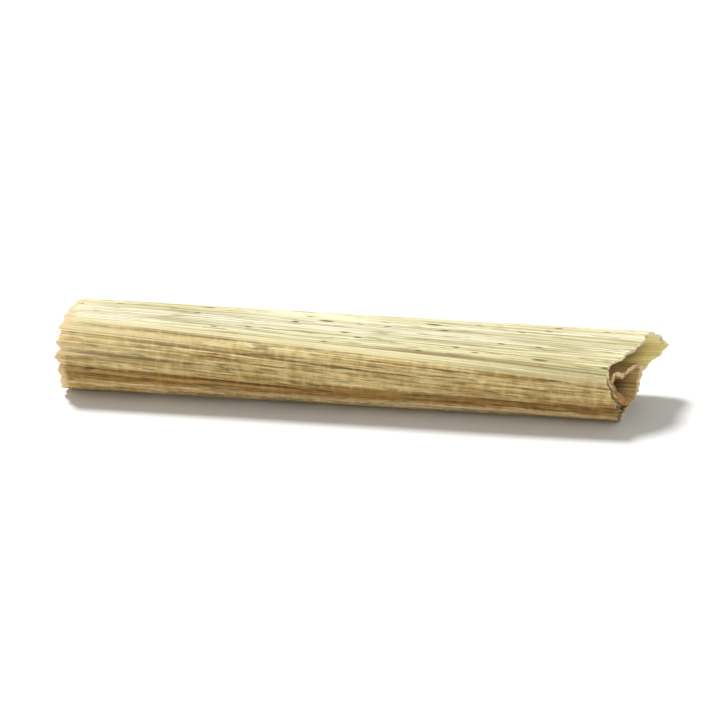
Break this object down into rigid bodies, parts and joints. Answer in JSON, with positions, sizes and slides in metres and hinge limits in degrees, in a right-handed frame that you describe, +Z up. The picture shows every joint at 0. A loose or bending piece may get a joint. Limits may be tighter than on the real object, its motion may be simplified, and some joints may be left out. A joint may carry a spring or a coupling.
{
  "type": "lemongrass stalk",
  "caption": "Dried cut length of lemongrass stalk: ribbed leaf sheaths rolled inside one another round a rolled heart leaf, with slanting ragged cut ends.",
  "frame": {"origin": "on the surface that the stalk lies on, under the middle of its box", "axes": "+X along the stalk towards its slanting cut, +Z up, -Y towards the side with the free margin"},
  "size_m": [0.0599, 0.0097, 0.0085],
  "materials": {
    "outer_sheath": "dry, satin, ribbed, cream to straw",
    "second_sheath": "dry, satin, pinkish tan",
    "third_sheath": "dry, satin, straw",
    "heart_leaf": "dry, dull, olive straw"
  },
  "bodies": {
    "root": {"outer_sheath": "outer_sheath", "second_sheath": "second_sheath", "third_sheath": "third_sheath", "heart_leaf": "heart_leaf"}
  },
  "joints": []
}
